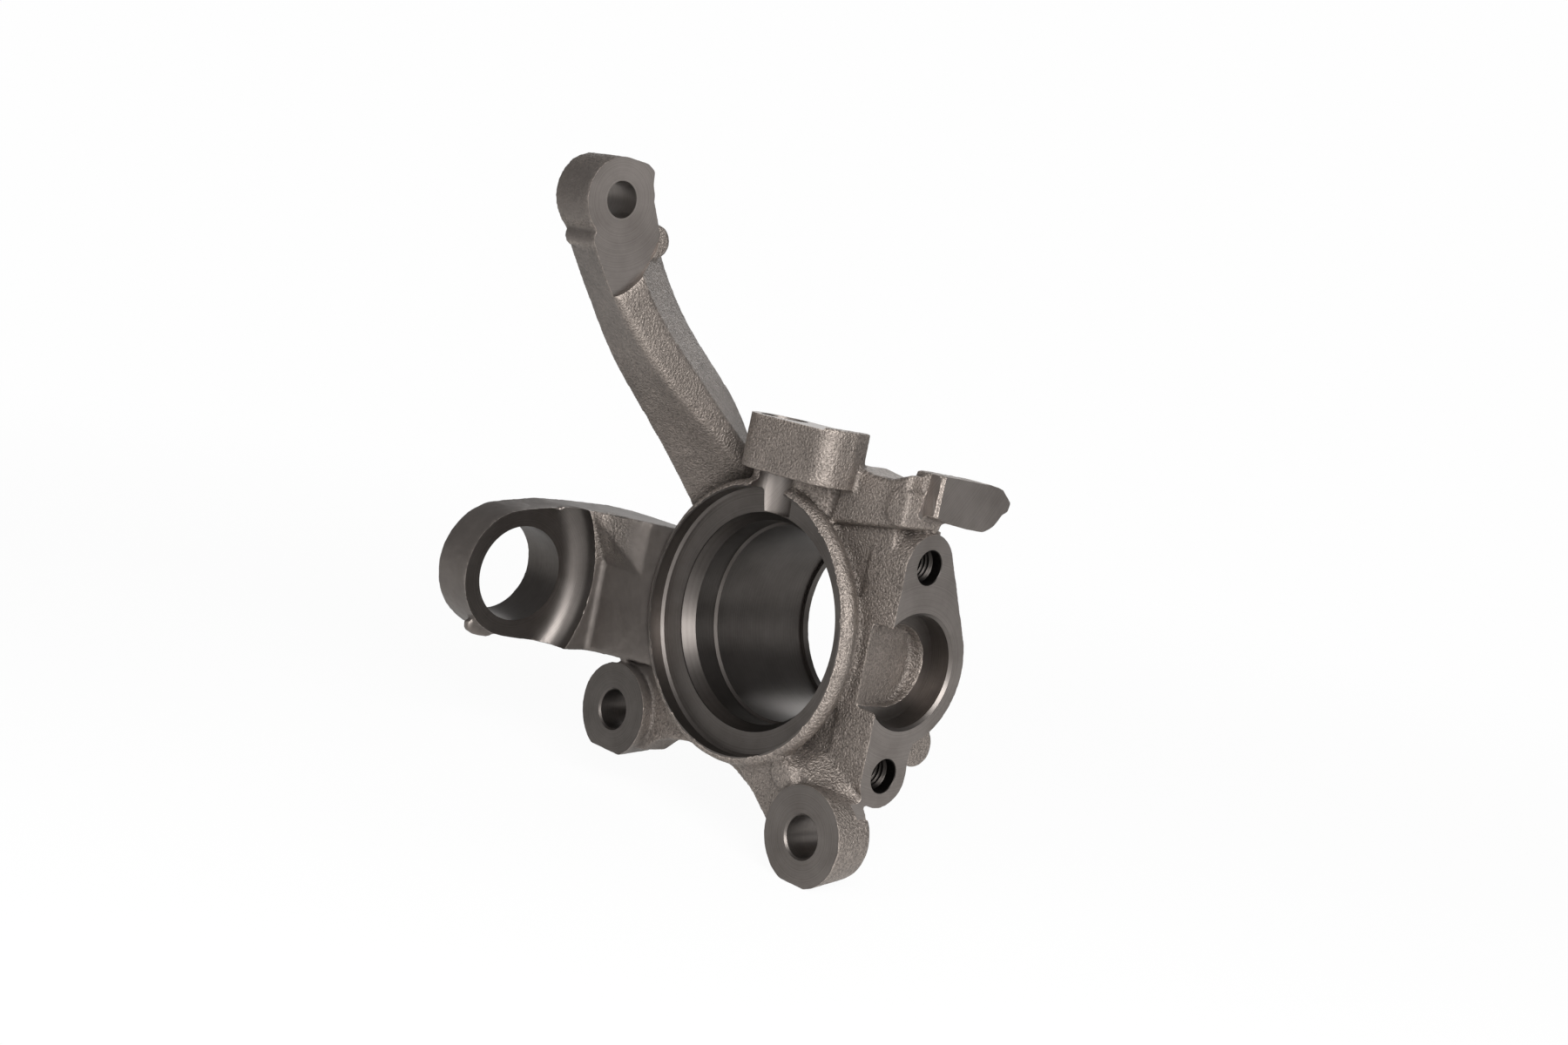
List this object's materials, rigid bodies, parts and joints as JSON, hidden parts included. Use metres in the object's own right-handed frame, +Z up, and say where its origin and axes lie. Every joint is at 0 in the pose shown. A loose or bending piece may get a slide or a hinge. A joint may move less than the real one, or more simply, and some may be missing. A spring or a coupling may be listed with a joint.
{
  "type": "steering knuckle",
  "caption": "Bare cast steering knuckle: bearing bore with open mouth rim, curved upper arm, cranked bushing eye, bolting flange with open socket, caliper lugs, sensor boss and stop block.",
  "frame": {"origin": "on the bearing bore's axis, in the plane of the hub's mouth face", "axes": "+Y runs along the bearing bore away from its mouth, +X is the outward normal of the side flange, +Z is up towards the upper arm's boss"},
  "size_m": [0.2091, 0.1834, 0.2681],
  "materials": {
    "casting": "bare sand-cast skin with machined faces and bores"
  },
  "bodies": {
    "root": {"knuckle": "casting"}
  },
  "joints": []
}
